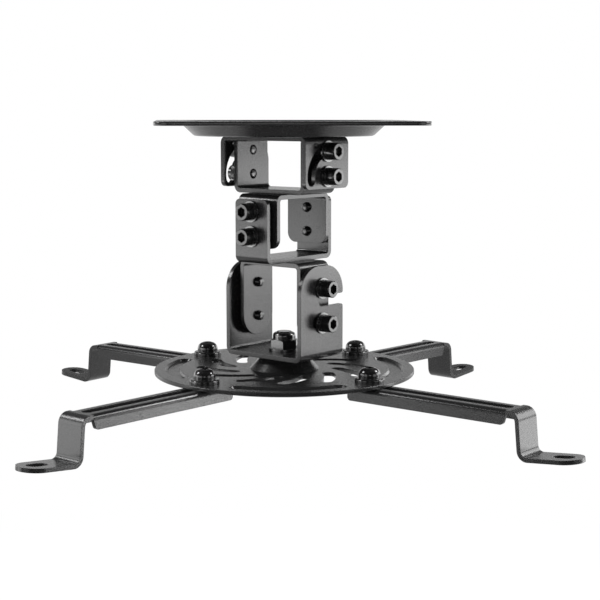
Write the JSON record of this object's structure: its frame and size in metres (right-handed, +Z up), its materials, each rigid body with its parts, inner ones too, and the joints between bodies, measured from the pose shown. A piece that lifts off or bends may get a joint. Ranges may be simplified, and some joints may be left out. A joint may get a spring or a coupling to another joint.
{
  "type": "projector ceiling mount",
  "caption": "Black sheet-steel projector ceiling mount: dished square plate, nested tilting and rolling U-brackets, swivelling slotted disc and adjustable stepped arms.",
  "frame": {"origin": "centre of the ceiling plate's upper face, the middle of its four corner slots", "axes": "+Z up towards the ceiling, X and Y along the plate's sides; the brackets stand at 45 degrees to them"},
  "size_m": [0.25, 0.2477, 0.1508],
  "materials": {
    "powder_coat": "satin black powder coat with a fine grain",
    "fasteners": "gloss black oxide",
    "washers": "satin black oxide"
  },
  "bodies": {
    "ceiling": {"ceiling_plate": "powder_coat", "upper_bracket": "powder_coat"},
    "upper_link": {"upper_link": "powder_coat", "roll_inner_bracket": "powder_coat", "upper_screws": "fasteners", "upper_spring_washers": "washers", "upper_flat_washers": "washers", "roll_screws": "fasteners", "roll_spring_washers": "washers", "roll_flat_washers": "washers"},
    "roll_bracket": {"roll_outer_bracket": "powder_coat", "tilt_inner_bracket": "powder_coat", "tilt_screws": "fasteners", "tilt_spring_washers": "washers", "tilt_flat_washers": "washers"},
    "tilt_bracket": {"tilt_outer_bracket": "powder_coat"},
    "disc": {"disc": "powder_coat", "swivel_bolt": "fasteners", "swivel_washer": "washers", "lock_nut": "fasteners", "clamp_screws": "fasteners"},
    "front_left_nut": {"front_left_nut": "fasteners"},
    "front_left_arm": {"front_left_arm": "powder_coat"},
    "front_right_nut": {"front_right_nut": "fasteners"},
    "front_right_arm": {"front_right_arm": "powder_coat"},
    "back_right_nut": {"back_right_nut": "fasteners"},
    "back_right_arm": {"back_right_arm": "powder_coat"},
    "back_left_nut": {"back_left_nut": "fasteners"},
    "back_left_arm": {"back_left_arm": "powder_coat"}
  },
  "joints": [
    {"name": "ceiling_swing", "type": "hinge", "parent": "ceiling", "child": "upper_link", "pos_m": [0, 0, -0.0273], "axis": [0.7071, -0.7071, 0], "range_deg": [0, 50]},
    {"name": "roll", "type": "hinge", "parent": "upper_link", "child": "roll_bracket", "pos_m": [0, 0, -0.0446], "axis": [0.7071, 0.7071, 0], "range_deg": [-8, 8]},
    {"name": "tilt", "type": "hinge", "parent": "roll_bracket", "child": "tilt_bracket", "pos_m": [0, 0, -0.0833], "axis": [0.7071, -0.7071, 0], "range_deg": [-15, 15]},
    {"name": "swivel", "type": "hinge", "parent": "tilt_bracket", "child": "disc", "pos_m": [0, 0, -0.1196], "axis": [0, 0, 1], "continuous": true},
    {"name": "front_left_arm_turn", "type": "hinge", "parent": "disc", "child": "front_left_nut", "pos_m": [-0.04202, -0.03851, -0.1285], "axis": [0, 0, 1], "range_deg": [-21.4, 18.6]},
    {"name": "front_left_arm_slide", "type": "slide", "parent": "front_left_nut", "child": "front_left_arm", "axis": [-0.7206, -0.6934, 0], "range_m": [-0.0215, 0.0046]},
    {"name": "front_right_arm_turn", "type": "hinge", "parent": "disc", "child": "front_right_nut", "pos_m": [0.03851, -0.04202, -0.1285], "axis": [0, 0, 1], "range_deg": [-23.2, 16.8]},
    {"name": "front_right_arm_slide", "type": "slide", "parent": "front_right_nut", "child": "front_right_arm", "axis": [0.7157, -0.6984, 0], "range_m": [-0.0254, 0.0007]},
    {"name": "back_right_arm_turn", "type": "hinge", "parent": "disc", "child": "back_right_nut", "pos_m": [0.04202, 0.03851, -0.1285], "axis": [0, 0, 1], "range_deg": [-19.8, 20.2]},
    {"name": "back_right_arm_slide", "type": "slide", "parent": "back_right_nut", "child": "back_right_arm", "axis": [0.7396, 0.673, 0], "range_m": [-0.014, 0.0121]},
    {"name": "back_left_arm_turn", "type": "hinge", "parent": "disc", "child": "back_left_nut", "pos_m": [-0.03851, 0.04202, -0.1285], "axis": [0, 0, 1], "range_deg": [-24.4, 15.6]},
    {"name": "back_left_arm_slide", "type": "slide", "parent": "back_left_nut", "child": "back_left_arm", "axis": [-0.7302, 0.6833, 0], "range_m": [-0.0215, 0.0046]}
  ]
}
